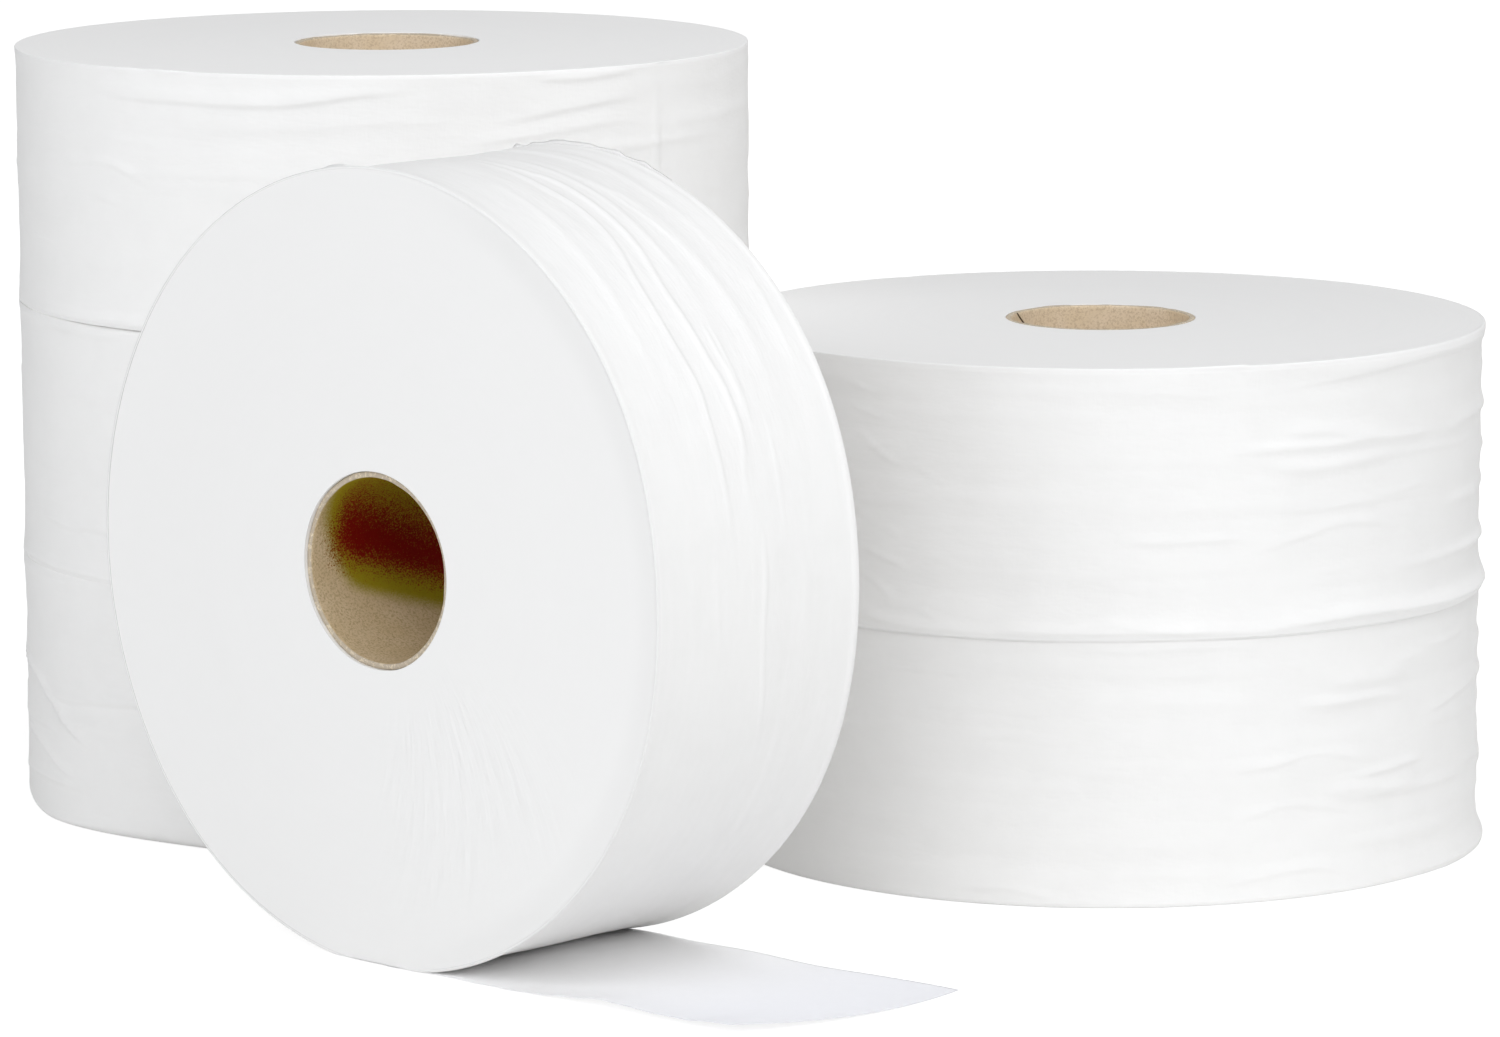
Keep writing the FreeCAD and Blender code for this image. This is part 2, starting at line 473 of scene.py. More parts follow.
def along_chain(x, chain):
    """A smooth line through given pairs of distance along the tail and height."""
    line = smooth_chain(chain)
    return np.interp(x, line[:, 0], line[:, 1])


def tail_height(along, across, x):
    """How far the tail lifts off the floor, in millimetres."""
    peel = along_chain(x, TAIL_PEEL)
    peel = peel * (PEEL_AT_EDGES + (1 - PEEL_AT_EDGES) * np.sin(across * math.pi) ** PEEL_ROUNDNESS)
    lift = along_chain(x, TAIL_NEAR_EDGE) * across ** 2
    begun = fade(along / CALM_START)
    waves = TAIL_WAVE * np.sin(along * TAIL_WAVE_RATE + across * TAIL_WAVE_SLANT) * begun * across
    waves = np.maximum(waves, -TAIL_WAVE_DROP * (lift + peel))
    near_band = fade((across - (1 - RIPPLE_BAND)) / RIPPLE_BAND)
    near = NEAR_RIPPLE * np.sin(along * NEAR_RIPPLE_RATE + NEAR_RIPPLE_PHASE) * near_band * begun
    far_band = fade((RIPPLE_BAND - across) / RIPPLE_BAND)
    far = FAR_RIPPLE * (1 + np.sin(along * FAR_RIPPLE_RATE)) * far_band * begun
    return TAIL_CLEARANCE + lift + peel + waves + np.abs(near) + far


def loose_tail(roll):
    """The end of the front roll's web, lying on the floor in a soft wave."""
    columns = 110
    lines = 56
    along, across = np.meshgrid(np.linspace(0, 1, columns + 1), np.linspace(0, 1, lines + 1), indexing="ij")
    bow = (across - TAIL_END_PEAK) / (1 - TAIL_END_PEAK)
    end = TAIL_LENGTH - TAIL_END_BOW * bow ** 2
    x = TAIL_START + along * (end - TAIL_START)
    y = roll.width * (0.5 - across) + TAIL_DRIFT * along
    corner = fade((along - (1 - CORNER_LENGTH)) / CORNER_LENGTH)
    corner = corner * fade((CORNER_WIDTH - across) / CORNER_WIDTH)
    y = y + CORNER_PULL * corner
    low = tail_height(along, across, x)
    foot = np.array((roll.centre.x, roll.centre.y, 0.0))
    basis = np.array([roll.right, -roll.axis, roll.up])
    sheets = []
    for rise in (0, TAIL_THICKNESS):
        sheets.append(np.stack([x, y, low + rise], axis=-1) * MM @ basis + foot)
    vertices = np.concatenate([sheet.reshape(-1, 3) for sheet in sheets])
    wide = lines + 1
    upper = (columns + 1) * wide
    faces = []
    for i in range(columns):
        for j in range(lines):
            a = i * wide + j
            b = a + wide
            faces.append((a, a + 1, b + 1, b))
            faces.append((upper + a, upper + b, upper + b + 1, upper + a + 1))
    border = [(i * wide, (i + 1) * wide) for i in range(columns)]
    border += [(columns * wide + j, columns * wide + j + 1) for j in range(lines)]
    border += [((i + 1) * wide + lines, i * wide + lines) for i in range(columns)]
    border += [(j + 1, j) for j in range(lines)]
    faces += [(a, b, upper + b, upper + a) for a, b in border]
    piece = mesh_object(f"{roll.name}_loose_tail", vertices, faces)
    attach(piece, "root")
    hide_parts(roll.paper_node)
    return piece


def torn_edge(roll):
    """Ragged paper that stands up behind the front roll's rear rim, over its top."""
    columns = 140
    turns = np.linspace(TORN_FROM, TORN_TO, columns + 1)
    share = (turns - TORN_FROM) / (TORN_TO - TORN_FROM)
    ragged = TORN_MEAN + uneven_line(roll.rng, TORN_NOISE, turns)
    height = TORN_HEIGHT * ragged * fade(share / TORN_RISE) * fade((1 - share) / TORN_FALL)
    section = ((TORN_ROOT, -0.3), (TORN_MIDDLE * height, -0.7), (height, -1.3),
               (TORN_MIDDLE * height, -1.0), (TORN_ROOT, -0.6))
    spin = np.radians(turns)
    rows = []
    for distance, level in section:
        reach = roll.radius + distance + 0 * turns
        behind = level - roll.width / 2 + 0 * turns
        rows.append(roll.place(reach * np.cos(spin), reach * np.sin(spin), behind))
    points = np.array(rows)
    wide = columns + 1
    faces = []
    for i in range(len(rows)):
        here = i * wide
        after = (i + 1) % len(rows) * wide
        faces += [(here + k, here + k + 1, after + k + 1, after + k) for k in range(columns)]
    faces.append(tuple(i * wide for i in range(len(rows)))[::-1])
    faces.append(tuple(i * wide + columns for i in range(len(rows))))
    piece = mesh_object(f"{roll.name}_torn_edge", points.reshape(-1, 3), faces)
    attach(piece, "root")
    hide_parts(roll.paper_node)
    return piece


# Materials

class Shader:
    """A material's nodes, with short calls to add and join them."""

    def __init__(self, tree):
        self.tree = tree
        self.tree.nodes.clear()

    def feed(self, socket, value):
        """Join another socket to this one, or set its value."""
        if isinstance(value, bpy.types.NodeSocket):
            self.tree.links.new(value, socket)
        else:
            socket.default_value = value

    def add(self, kind, inputs=None, **settings):
        """A node with its settings and inputs; its first output is the usual result."""
        node = self.tree.nodes.new(kind)
        for key, value in settings.items():
            setattr(node, key, value)
        for socket, value in (inputs or {}).items():
            self.feed(node.inputs[socket], value)
        return node

    def math(self, operation, *values):
        """Result of a math node."""
        return self.add("ShaderNodeMath", dict(enumerate(values)), operation=operation).outputs[0]

    def product(self, *values):
        """Several values times each other."""
        result = values[0]
        for value in values[1:]:
            result = self.math("MULTIPLY", result, value)
        return result

    def dot(self, vector, direction):
        """How far a vector goes along a fixed direction."""
        inputs = {0: vector, 1: tuple(direction)}
        return self.add("ShaderNodeVectorMath", inputs, operation="DOT_PRODUCT").outputs["Value"]

    def ramp(self, value, low, high, start=0.0, end=1.0):
        """A value taken smoothly from one range to another."""
        inputs = {"Value": value, "From Min": low, "From Max": high, "To Min": start, "To Max": end}
        return self.add("ShaderNodeMapRange", inputs, interpolation_type="SMOOTHSTEP").outputs[0]

    def noise(self, vector, scale, detail=3.0, roughness=0.55):
        """Noise from 0 to 1 at points of a vector in millimetres."""
        inputs = {"Vector": vector, "Scale": scale, "Detail": detail, "Roughness": roughness}
        return self.add("ShaderNodeTexNoise", inputs).outputs[0]

    def mix(self, factor, first, second):
        """One colour mixed into another."""
        return self.add("ShaderNodeMix", {0: factor, 6: first, 7: second}, data_type="RGBA").outputs[2]

    def scaled(self, vector, x, y, z):
        """A vector with each part times its own number."""
        return self.add("ShaderNodeVectorMath", {0: vector, 1: (x, y, z)}, operation="MULTIPLY").outputs[0]

    def bump(self, height, distance, normal=None):
        """A normal pressed by a height from 0 to 1 over a distance in millimetres."""
        inputs = {"Height": height, "Distance": distance * MM, "Strength": 1.0}
        if normal:
            inputs["Normal"] = normal
        return self.add("ShaderNodeBump", inputs).outputs[0]


def new_material(name):
    """A material and the shader that fills it."""
    material = bpy.data.materials.new(name)
    material.use_nodes = True
    return material, Shader(material.node_tree)


def matte_surface(shader, colour, roughness, specular, normal):
    """The surface of a material that is paper or board."""
    inputs = {"Base Color": colour, "Roughness": roughness, "Specular IOR Level": specular, "Normal": normal}
    surface = shader.add("ShaderNodeBsdfPrincipled", inputs)
    shader.add("ShaderNodeOutputMaterial", {"Surface": surface.outputs[0]})


def roll_coordinates(shader, roll):
    """A point in millimetres along the roll's own directions, as a vector and as its parts."""
    here = shader.add("ShaderNodeTexCoord").outputs["Object"]
    inputs = {0: here, 1: tuple(roll.centre)}
    offset = shader.add("ShaderNodeVectorMath", inputs, operation="SUBTRACT").outputs[0]
    parts = [shader.dot(offset, direction / MM) for direction in (roll.right, roll.up, roll.axis)]
    local = shader.add("ShaderNodeCombineXYZ", dict(enumerate(parts))).outputs[0]
    return local, parts


def from_axis(shader, parts):
    """A point's distance from the roll's axis, in millimetres."""
    squares = [shader.product(part, part) for part in parts[:2]]
    return shader.math("SQRT", shader.math("ADD", *squares))


# Tissue: colours, gloss, and how far inside the web's edges the look of an end face starts
PAPER = (0.905, 0.897, 0.884, 1.0)
PAPER_SHADE = (0.893, 0.885, 0.872, 1.0)
PAPER_EDGE = (0.897, 0.889, 0.878, 1.0)
PAPER_ROUGHNESS = 0.92
PAPER_SPECULAR = 0.18
FACE_FROM = 1.6
FACE_FULL = 0.5

# Texture of the tissue: noise as cells a millimetre, detail and roughness, and millimetres deep
CREPE_NOISE = (0.9, 4.0, 0.6)
CREPE_STRETCH = 0.22
CREPE_DEPTH = 0.045
CLOUD_NOISE = (0.06, 3.0)
CLOUD_LIMITS = (0.35, 0.7)
DIMPLE_NOISE = (0.28, 2.0)
DIMPLE_ROUND = 0.35
DIMPLE_DEPTH = 0.22
TURN_NOISE = (0.8, 4.0, 0.65)
TURN_LIMITS = (0.35, 0.68)
TURN_DRIFT = 0.012
LYING_TURN_DEPTH = 0.03
FRONT_TURN_DEPTH = 0.01
FRONT_EDGE_SHARE = 0.3

# Wrinkles on the front roll's end face: turns in radians, distances from its axis in millimetres
WRINKLE_RATE = 26.0
WRINKLE_SLANT = 0.12
WRINKLE_STRETCH = 0.045
WRINKLE_DEPTH = 0.5
WRINKLE_TURNS = ((-1.75, -1.25), (-0.30, -0.75))
WRINKLE_REACH = ((36.0, 60.0), (126.0, 104.0))

# Shade painted on the front roll: shares of the paper's colour, and millimetres where they run
FACE_SHADE = 0.92
FACE_SHADE_FROM = 14.0
FACE_SHADE_FULL = 4.0
FACE_SHADE_ACROSS = (10.0, 70.0)
RIM_SHADE = 0.62
RIM_FACING = ((0.98, 0.85), (0.1, 0.4))
RIM_ACROSS = (20.0, -70.0, 0.15, 1.0)
RIM_ALONG = (0.0, 10.0)


def shaded(colour, share):
    """A colour made a little lighter or darker."""
    return tuple(part * share for part in colour[:3]) + (1.0,)


def front_painted_shade(shader, roll, parts, radial, on_face, colour):
    """Painted shade on the front roll: greyer inside the right rim of its end face, and darker round
    the bevel of its front rim, most of all at the left."""
    inside = shader.ramp(radial, roll.radius - FACE_SHADE_FROM, roll.radius - FACE_SHADE_FULL)
    inside = shader.product(inside, shader.ramp(parts[0], *FACE_SHADE_ACROSS), on_face)
    colour = shader.mix(inside, colour, shaded(PAPER, FACE_SHADE))
    facing = shader.dot(shader.add("ShaderNodeNewGeometry").outputs["Normal"], roll.axis)
    bevel = [shader.ramp(facing, *limits) for limits in RIM_FACING]
    rim = shader.product(*bevel, shader.ramp(parts[0], *RIM_ACROSS), shader.ramp(parts[2], *RIM_ALONG))
    return shader.mix(rim, colour, shaded(PAPER, RIM_SHADE))


def face_wrinkles(shader, parts, radial, on_face, normal):
    """Slanting wrinkles on the front roll's end face, lower right of its core."""
    turn = shader.math("ARCTAN2", parts[1], parts[0])
    slant = shader.math("ADD", shader.product(turn, WRINKLE_RATE), shader.product(radial, WRINKLE_SLANT))
    spread = {0: slant, 1: shader.product(radial, WRINKLE_STRETCH)}
    ridges = shader.noise(shader.add("ShaderNodeCombineXYZ", spread).outputs[0], 1.0, 2.0)
    where = [shader.ramp(turn, *limits) for limits in WRINKLE_TURNS]
    where += [shader.ramp(radial, *limits) for limits in WRINKLE_REACH]
    return shader.bump(shader.product(ridges, shader.product(*where, on_face)), WRINKLE_DEPTH, normal)


def paper_material(roll, painted_light_share):
    """Two-ply tissue: creped across the web, with the edges of the turns on its end faces."""
    material, shader = new_material(f"{roll.name}_tissue")
    local, parts = roll_coordinates(shader, roll)
    radial = from_axis(shader, parts)
    half = roll.width / 2
    on_face = shader.ramp(shader.math("ABSOLUTE", parts[2]), half - FACE_FROM, half - FACE_FULL)
    on_side = shader.math("SUBTRACT", 1.0, on_face)
    crepe = shader.noise(shader.scaled(local, 1.0, 1.0, CREPE_STRETCH), *CREPE_NOISE)
    cloud = shader.noise(local, *CLOUD_NOISE)
    dimple = shader.noise(shader.scaled(local, DIMPLE_ROUND, DIMPLE_ROUND, 1.0), *DIMPLE_NOISE)
    drift = [shader.product(part, TURN_DRIFT) for part in parts[:2]]
    spread = shader.add("ShaderNodeCombineXYZ", dict(enumerate([radial, *drift]))).outputs[0]
    turns = shader.noise(spread, *TURN_NOISE)
    # The same tissue on every roll, made lighter or darker per roll as painted light and shade
    paper, shade, edge = (shaded(colour, painted_light_share) for colour in (PAPER, PAPER_SHADE, PAPER_EDGE))
    tone = shader.mix(shader.ramp(cloud, *CLOUD_LIMITS), paper, shade)
    edge_share = 1.0 if roll.lying else FRONT_EDGE_SHARE
    edge_tone = shader.mix(shader.ramp(turns, *TURN_LIMITS, 0.0, edge_share), paper, edge)
    colour = shader.mix(on_face, tone, edge_tone)
    normal = shader.bump(shader.product(dimple, on_side), DIMPLE_DEPTH)
    normal = shader.bump(shader.product(crepe, on_side), CREPE_DEPTH, normal)
    turn_depth = LYING_TURN_DEPTH if roll.lying else FRONT_TURN_DEPTH
    normal = shader.bump(shader.product(turns, on_face), turn_depth, normal)
    if not roll.lying:
        # Painted shade on the front roll's end face and on the bevel of its front rim
        colour = front_painted_shade(shader, roll, parts, radial, on_face, colour)
        normal = face_wrinkles(shader, parts, radial, on_face, normal)
    matte_surface(shader, colour, PAPER_ROUGHNESS, PAPER_SPECULAR, normal)
    return material


# The tail's sheet: its tone near the roll, lightened as painted light where the roll shades it, and at its
# far end, in millimetres from the roll's axis
TAIL_NEAR_PAINTED_LIGHT = (0.96, 0.955, 0.955, 1.0)
TAIL_FAR_TONE = (0.81, 0.81, 0.835, 1.0)
TAIL_TONE_RUN = (50.0, 150.0)
TAIL_DIMPLE_NOISE = (0.2, 2.0)
TAIL_DIMPLE_DEPTH = 0.3
TAIL_CREPE_DEPTH = 0.04


def tail_material(roll):
    """One thin sheet of the same tissue, a little greyer the farther it is from the roll,
    and lighter near the roll as painted light where the roll shades it.
    """
    material, shader = new_material(f"{roll.name}_sheet_tissue")
    local, parts = roll_coordinates(shader, roll)
    crepe = shader.noise(shader.scaled(local, 1.0, CREPE_STRETCH, CREPE_STRETCH), *CREPE_NOISE)
    dimple = shader.noise(shader.scaled(local, 1.0, DIMPLE_ROUND, DIMPLE_ROUND), *TAIL_DIMPLE_NOISE)
    # Painted light near the roll, running out to the greyer far end
    colour = shader.mix(shader.ramp(parts[0], *TAIL_TONE_RUN), TAIL_NEAR_PAINTED_LIGHT, TAIL_FAR_TONE)
    normal = shader.bump(dimple, TAIL_DIMPLE_DEPTH)
    normal = shader.bump(crepe, TAIL_CREPE_DEPTH, normal)
    matte_surface(shader, colour, PAPER_ROUGHNESS, PAPER_SPECULAR, normal)
    return material


# Core board: plain, pale and dark tones of the lying rolls and of the front one, the same board painted
# lighter and darker as painted light and shade, cut ends, gloss
LYING_BOARD = ((0.81, 0.665, 0.475, 1.0), (0.86, 0.72, 0.55, 1.0), (0.66, 0.52, 0.355, 1.0))
FRONT_BOARD = ((0.63, 0.490, 0.300, 1.0), (0.69, 0.550, 0.365, 1.0), (0.46, 0.345, 0.200, 1.0))
BOARD_END = (0.50, 0.425, 0.330, 1.0)
BOARD_TORN = (0.72, 0.62, 0.47, 1.0)
BOARD_ROUGHNESS = 0.85
LYING_BOARD_GLOSS = 0.25
FRONT_BOARD_GLOSS = 0.06
FLECK_NOISE = (1.3, 4.0, 0.7)
FLECK_LIMITS = (0.45, 0.64)
FLECK_DEPTH = 0.10
BOARD_CLOUD_NOISE = (0.10, 3.0)
BOARD_CLOUD_LIMITS = (0.3, 0.75)
BOARD_TORN_NOISE = (0.7, 4.0, 0.7)
BOARD_TORN_LIMITS = (0.50, 0.62)
BOARD_END_FROM = 0.60
BOARD_END_FULL = 0.30

# The innermost ply's spiral seam: rise in millimetres a turn, half widths in turns, and depth
SEAM_TONE = (0.10, 0.062, 0.034, 1.0)
PLY_LEAD = 150.0
SEAM_LIMITS = (0.0039, 0.0024)
SEAM_DEPTH = 0.25
SEAM_PHASE = 10.5

# The front core's painted shade, by lines on the board: shares of depth and height, start and run
# Colours of painted shade deep inside the front core
PAINTED_SHADE_OLIVE = (0.31, 0.245, 0.010, 1.0)
PAINTED_SHADE_BROWN = (0.25, 0.100, 0.008, 1.0)
PAINTED_SHADE_MAROON = (0.19, 0.003, 0.001, 1.0)
OLIVE_LINES = ((1.0, 0.5, 8.5, 4.0), (0.29, 1.0, -8.0, 3.0))
RED_LINES = ((1.0, 0.1, 9.0, 6.0), (0.3, 1.0, 1.0, 6.0))
RED_TOP_LINE = (-0.36, -1.0, -31.0, 11.0)
OLIVE_ROUNDING = 2.0
RED_ROUNDING = 1.5
RED_TOP_ROUNDING = 1.0
SPECKLE_NOISE = (1.8, 1.0, 0.5)
RED_SPECKLE = 3.6
OLIVE_LIMITS = (-0.5, 1.5)
BROWN_LIMITS = (-0.4, 0.6)
MAROON_LIMITS = (0.2, 1.1)


def core_seam(shader, parts, roll):
    """Where the innermost ply's spiral seam lies, from 0 to 1."""
    turn = shader.math("DIVIDE", shader.math("ARCTAN2", parts[1], parts[0]), 2 * math.pi)
    climb = shader.math("DIVIDE", parts[2], PLY_LEAD)
    phase = shader.math("ADD", shader.math("SUBTRACT", turn, climb), SEAM_PHASE - roll.seam_turn)
    off = shader.math("ABSOLUTE", shader.math("SUBTRACT", shader.math("FRACT", phase), 0.5))
    return shader.ramp(off, *SEAM_LIMITS)


def core_painted_shade(shader, local, parts, roll, colour):
    """The front roll's core darkens to olive and then to dark red, deep inside and above, as painted shade.
    """
    depth = shader.math("SUBTRACT", roll.core_length / 2, parts[2])

    def beyond(depth_share, height_share, start, run):
        """How far a point is past a slanting line on the board, in units of a run."""
        total = shader.math("ADD", shader.product(depth, depth_share), shader.product(parts[1], height_share))
        return shader.math("DIVIDE", shader.math("SUBTRACT", total, start), run)

    speckle = shader.math("SUBTRACT", shader.noise(local, *SPECKLE_NOISE), 0.5)
    olive = shader.math("SMOOTH_MIN", *(beyond(*line) for line in OLIVE_LINES), OLIVE_ROUNDING)
    olive = shader.math("ADD", olive, speckle)
    red = shader.math("SMOOTH_MIN", *(beyond(*line) for line in RED_LINES), RED_ROUNDING)
    red = shader.math("SMOOTH_MIN", red, beyond(*RED_TOP_LINE), RED_TOP_ROUNDING)
    red = shader.math("ADD", red, shader.product(speckle, RED_SPECKLE))
    colour = shader.mix(shader.ramp(olive, *OLIVE_LIMITS), colour, PAINTED_SHADE_OLIVE)
    colour = shader.mix(shader.ramp(red, *BROWN_LIMITS), colour, PAINTED_SHADE_BROWN)
    return shader.mix(shader.ramp(red, *MAROON_LIMITS), colour, PAINTED_SHADE_MAROON)


def board_material(roll):
    """Grey-brown core board with flecks, a ply seam, torn cut ends and the front core's painted shade."""
    material, shader = new_material(f"{roll.name}_core_board")
    local, parts = roll_coordinates(shader, roll)
    fleck = shader.noise(local, *FLECK_NOISE)
    cloud = shader.noise(local, *BOARD_CLOUD_NOISE)
    # The lying rolls and the front one get lighter and darker copies of the same board, as painted light and
    # shade
    board, pale, dark = LYING_BOARD if roll.lying else FRONT_BOARD
    colour = shader.mix(shader.ramp(cloud, *BOARD_CLOUD_LIMITS), board, pale)
    colour = shader.mix(shader.ramp(fleck, *FLECK_LIMITS), colour, dark)
    normal = shader.bump(fleck, FLECK_DEPTH)
    if roll.seam_turn is not None:
        seam = core_seam(shader, parts, roll)
        colour = shader.mix(seam, colour, SEAM_TONE)
        normal = shader.bump(shader.math("SUBTRACT", 1.0, seam), SEAM_DEPTH, normal)
    if not roll.lying:
        # Painted shade deep inside the front core, in olive and dark red
        colour = core_painted_shade(shader, local, parts, roll, colour)
    below = shader.product(parts[2], -1.0)
    near_end = shader.math("MAXIMUM", shader.math("SUBTRACT", parts[2], roll.core_lift), below)
    half = roll.core_length / 2
    end = shader.ramp(near_end, half - BOARD_END_FROM, half - BOARD_END_FULL)
    torn = shader.ramp(shader.noise(local, *BOARD_TORN_NOISE), *BOARD_TORN_LIMITS)
    colour = shader.mix(end, colour, shader.mix(torn, BOARD_END, BOARD_TORN))
    specular = LYING_BOARD_GLOSS if roll.lying else FRONT_BOARD_GLOSS
    matte_surface(shader, colour, BOARD_ROUGHNESS, specular, normal)
    return material


def dress(piece, material):
    """Give a piece its material."""
    piece.data.materials.append(material)


# Rolls: outlines, rims and creases

# Out-of-round outlines: bearings and spans in degrees, heights in millimetres
LEAN = 1.5
BULGE_BEARING = -128.0
BULGE_HEIGHT = 1.3
FLAT_BEARING = 2.0
FLAT_DEPTH = 2.5
SETTLED_SPAN = 24.0

# Parts of a rim with more radius: end, bearing and span in degrees, millimetres, and steepness
GAP = (1, -122.0, 34.0, 1.9, 1.6)
FRONT_SLUMP = (-1, -124.0, 34.0, 6.5, 1.0)
LEFT_SLUMP = (-1, -174.0, 22.0, 4.0, 1.0)


def upright(theta):
    """A round outline."""
    return 0 * theta


def leaning_left(theta):
    """The left stack's rolls are wound a little off their cores, to the left."""
    return -LEAN * np.cos(np.radians(theta))


def settled(theta):
    """The front roll has settled: it bulges at its lower left and is flatter at its right."""
    bulge = BULGE_HEIGHT * np.exp(-(turn_from(theta, BULGE_BEARING) / SETTLED_SPAN) ** 2)
    return bulge - FLAT_DEPTH * np.exp(-(turn_from(theta, FLAT_BEARING) / SETTLED_SPAN) ** 2)


# Parts of a roll's side, in degrees and millimetres
ALL_ROUND = dict(angles=(-180, 180), levels=(4, 88))
LIT_PART = dict(angles=(-76, -12), levels=(8, 84))
SHADED_PART = dict(angles=(-136, -118), levels=(8, 84))

# Kinds of stray crease: degrees long, millimetres up a degree, and lift and width in millimetres
LONG = dict(ALL_ROUND, reach=(14, 60), slope=(-0.05, 0.05), lift=(0.12, 0.42), width=(1.1, 3.2))
FINE = dict(ALL_ROUND, reach=(5, 22), slope=(-0.12, 0.12), lift=(0.08, 0.24), width=(0.9, 1.5))
BROAD = dict(LIT_PART, reach=(16, 48), slope=(-0.06, 0.08), lift=(0.6, 1.2), width=(1.8, 3.4))
SLANTED = dict(SHADED_PART, reach=(3, 9), slope=(-1.4, -0.5), lift=(0.15, 0.4), width=(0.9, 1.3))

# Creases read from the photo: a chain of degrees and millimetres, lift, and width below and above
LEFT_TOP_CREASES = [
    ([(-141, 84.5), (-134.5, 83.0), (-128.7, 81.7), (-119.1, 81.5), (-111.9, 81.1), (-103.4, 81.3),
      (-96.2, 83.3), (-89.5, 85.4), (-80, 86.5)], 0.9, 0.9, 4.5),
    ([(-125, 74), (-116.3, 73.1), (-98.7, 73.9), (-88.2, 75.7), (-70, 76)], 0.45, 2.5, 5.0),
    ([(-150, 56.5), (-144, 56.6), (-135.3, 58.2), (-131, 56.1), (-126.9, 52.2), (-124.4, 49.1)],
     0.55, 1.0, 1.6),
    ([(-138.6, 46.7), (-133.8, 44.8), (-129.9, 41.9)], 0.3, 1.0, 1.4),
    ([(-136, 92.5), (-131, 91.0), (-127, 93.0), (-122, 91.5), (-116, 92.6)], 0.5, 0.9, 1.4),
    ([(-41.4, 4), (-41.2, 30), (-41.3, 60), (-41.1, 89)], 0.9, 1.8, 0.8),
    ([(-36.5, 8), (-36.2, 40), (-36.6, 84)], 0.14, 1.6, 1.6),
    ([(-28.5, 12), (-28.8, 44), (-28.1, 80)], 0.12, 1.6, 1.6),
    ([(-72, 74), (-60, 78), (-50, 80.5), (-43, 81)], 0.5, 1.2, 4.0),
    ([(-78, 67), (-64, 70), (-52, 72.5), (-43, 73)], 0.4, 1.4, 4.0),
    ([(-66, 89.5), (-58, 88.6), (-50, 89.4), (-44, 90.6)], 0.5, 0.9, 2.0),
    ([(-118, 2.2), (-112, 2.6), (-104, 2.6), (-96, 2.4)], 0.9, 1.2, 2.4),
    ([(-160, 2.4), (-146, 2.2), (-134, 2.4), (-118, 2.2)], 0.7, 1.2, 2.4),
]
LEFT_MIDDLE_CREASES = [
    ([(-160, 19), (-152, 18.5), (-144.9, 17.5), (-139.4, 18.7), (-130, 17.0)], 0.7, 0.8, 2.4),
    ([(-172, 2.0), (-162, 2.4), (-148, 2.0), (-132, 2.4)], 1.1, 0.9, 2.8),
    ([(-170, 88), (-155, 89.5), (-140, 88.0), (-128, 89.0)], 0.5, 1.0, 3.0),
]
LEFT_BOTTOM_CREASES = [
    ([(-176, 60), (-169.5, 56.3), (-160.2, 50.9), (-152, 42.5), (-145.4, 34.4), (-138, 28)], 1.9, 0.8, 1.5),
    ([(-158, 46), (-149.6, 46.2), (-131.3, 49.6), (-120, 50)], 1.4, 1.2, 3.5),
    ([(-176, 13), (-165, 14.6), (-153, 15.2), (-140, 14.7)], 1.1, 1.0, 3.0),
    ([(-172, 30), (-160, 27), (-150, 20), (-141, 17)], 1.0, 0.8, 2.0),
    ([(-176, 36), (-166, 33), (-156, 34), (-148, 30)], 0.7, 0.8, 1.6),
    ([(-178, 88.6), (-164, 89.2), (-150, 88.8), (-138, 89.4)], 0.6, 2.6, 0.9),
    ([(-178, 44), (-174, 44.6), (-170, 43)], -0.9, 1.0, 1.8),
]
RIGHT_TOP_CREASES = [
    ([(-68, 83.0), (-58.3, 84.6), (-50.6, 86.2), (-42.4, 87.8), (-31.9, 88.8), (-14, 88.3), (0, 88)],
     1.0, 0.8, 3.6),
    ([(-84, 92.4), (-76, 92.7), (-72.1, 92.0), (-70.6, 93.9), (-64, 94.4), (-52, 93.2)], 0.5, 0.9, 1.5),
    ([(-72, 27), (-67.2, 30.1), (-59.9, 33.9), (-55.4, 35.8), (-48.9, 34.9), (-42.4, 31.4)], 0.45, 1.0, 2.4),
    ([(-132.5, 84), (-131.1, 82.6), (-128.2, 80.5), (-126, 80)], 0.35, 0.8, 1.2),
    ([(-132, 68), (-130.2, 66.3), (-127.3, 61.5), (-123.8, 57.0), (-122, 55)], 0.45, 0.8, 1.2),
    ([(-131, 29), (-129.6, 27.6), (-125.1, 23.8), (-122, 23)], 0.45, 0.8, 1.3),
    ([(-132, 21), (-130.2, 19.1), (-125.1, 12.0), (-124.6, 5.6)], 0.5, 0.8, 1.3),
    ([(-133, 6.4), (-130.6, 5.2), (-127.8, 3.8), (-120.7, 2.4), (-108, 2.2)], 0.7, 0.9, 2.4),
    ([(-96, 3.2), (-91, 5.8), (-86, 3.6), (-78, 2.8)], 0.6, 0.9, 2.0),
    ([(-114, 2.0), (-102, 2.4), (-90, 2.8), (-78, 2.4), (-66, 2.2)], 1.3, 0.9, 3.2),
    ([(-76, 1.8), (-64, 3.0), (-52, 4.2), (-40, 3.4), (-24, 2.6), (-10, 3.4), (2, 4.4), (10, 5.5)],
     2.0, 1.2, 3.4),
]
